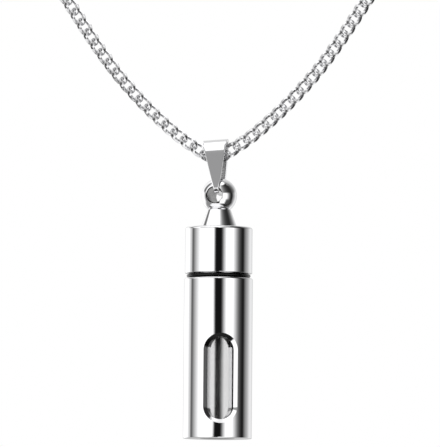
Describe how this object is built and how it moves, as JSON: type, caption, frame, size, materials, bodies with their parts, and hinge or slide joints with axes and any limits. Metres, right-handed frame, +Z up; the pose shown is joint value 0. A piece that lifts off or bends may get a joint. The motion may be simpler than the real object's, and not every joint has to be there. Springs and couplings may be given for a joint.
{
  "type": "keepsake urn pendant on a chain",
  "caption": "Polished steel keepsake urn pendant: a screw-top vial with a window and a ball finial, hung by a tapered strap bail from a curb chain necklace.",
  "frame": {"origin": "middle of the neck opening, level with the shoulders", "axes": "+Z up along the wearer's neck, -Y to the front, where the pendant hangs, +X to the right as seen from the front"},
  "size_m": [0.128, 0.0939, 0.1773],
  "materials": {
    "polished_steel": "mirror-polished stainless steel",
    "chain_steel": "bright-rolled stainless steel curb links with flattened faces",
    "black_rubber": "smooth black nitrile rubber with a soft sheen",
    "clear_glass": "clear borosilicate glass"
  },
  "bodies": {
    "necklace": {"chain": "chain_steel", "clasp": "polished_steel"},
    "bail": {"bail": "polished_steel"},
    "urn_cap": {"cap": "polished_steel"},
    "seal": {"seal_ring": "black_rubber"},
    "urn_sleeve": {"sleeve": "polished_steel", "glass_vial": "clear_glass"}
  },
  "joints": [
    {"name": "bail_swing", "type": "hinge", "parent": "necklace", "child": "bail", "pos_m": [0.00024, -0.04004, -0.12201], "axis": [0.9879, -0.1388, 0.0698], "range_deg": [-75, 75]},
    {"name": "urn_swing", "type": "hinge", "parent": "bail", "child": "urn_cap", "pos_m": [0.00065, -0.0401, -0.128], "axis": [0.3256, 0.9455, 0], "range_deg": [-75, 75]},
    {"name": "unscrew", "type": "hinge", "parent": "urn_cap", "child": "seal", "pos_m": [0.00065, -0.0401, -0.13975], "axis": [0, 0, -1], "range_deg": [0, 1440]},
    {"name": "unscrew_travel", "type": "slide", "parent": "seal", "child": "urn_sleeve", "axis": [0, 0, -1], "range_m": [0, 0.004]}
  ],
  "couplings": [
    {"joint": "unscrew_travel", "follows": "unscrew", "m_per_rad": 0.000159}
  ]
}
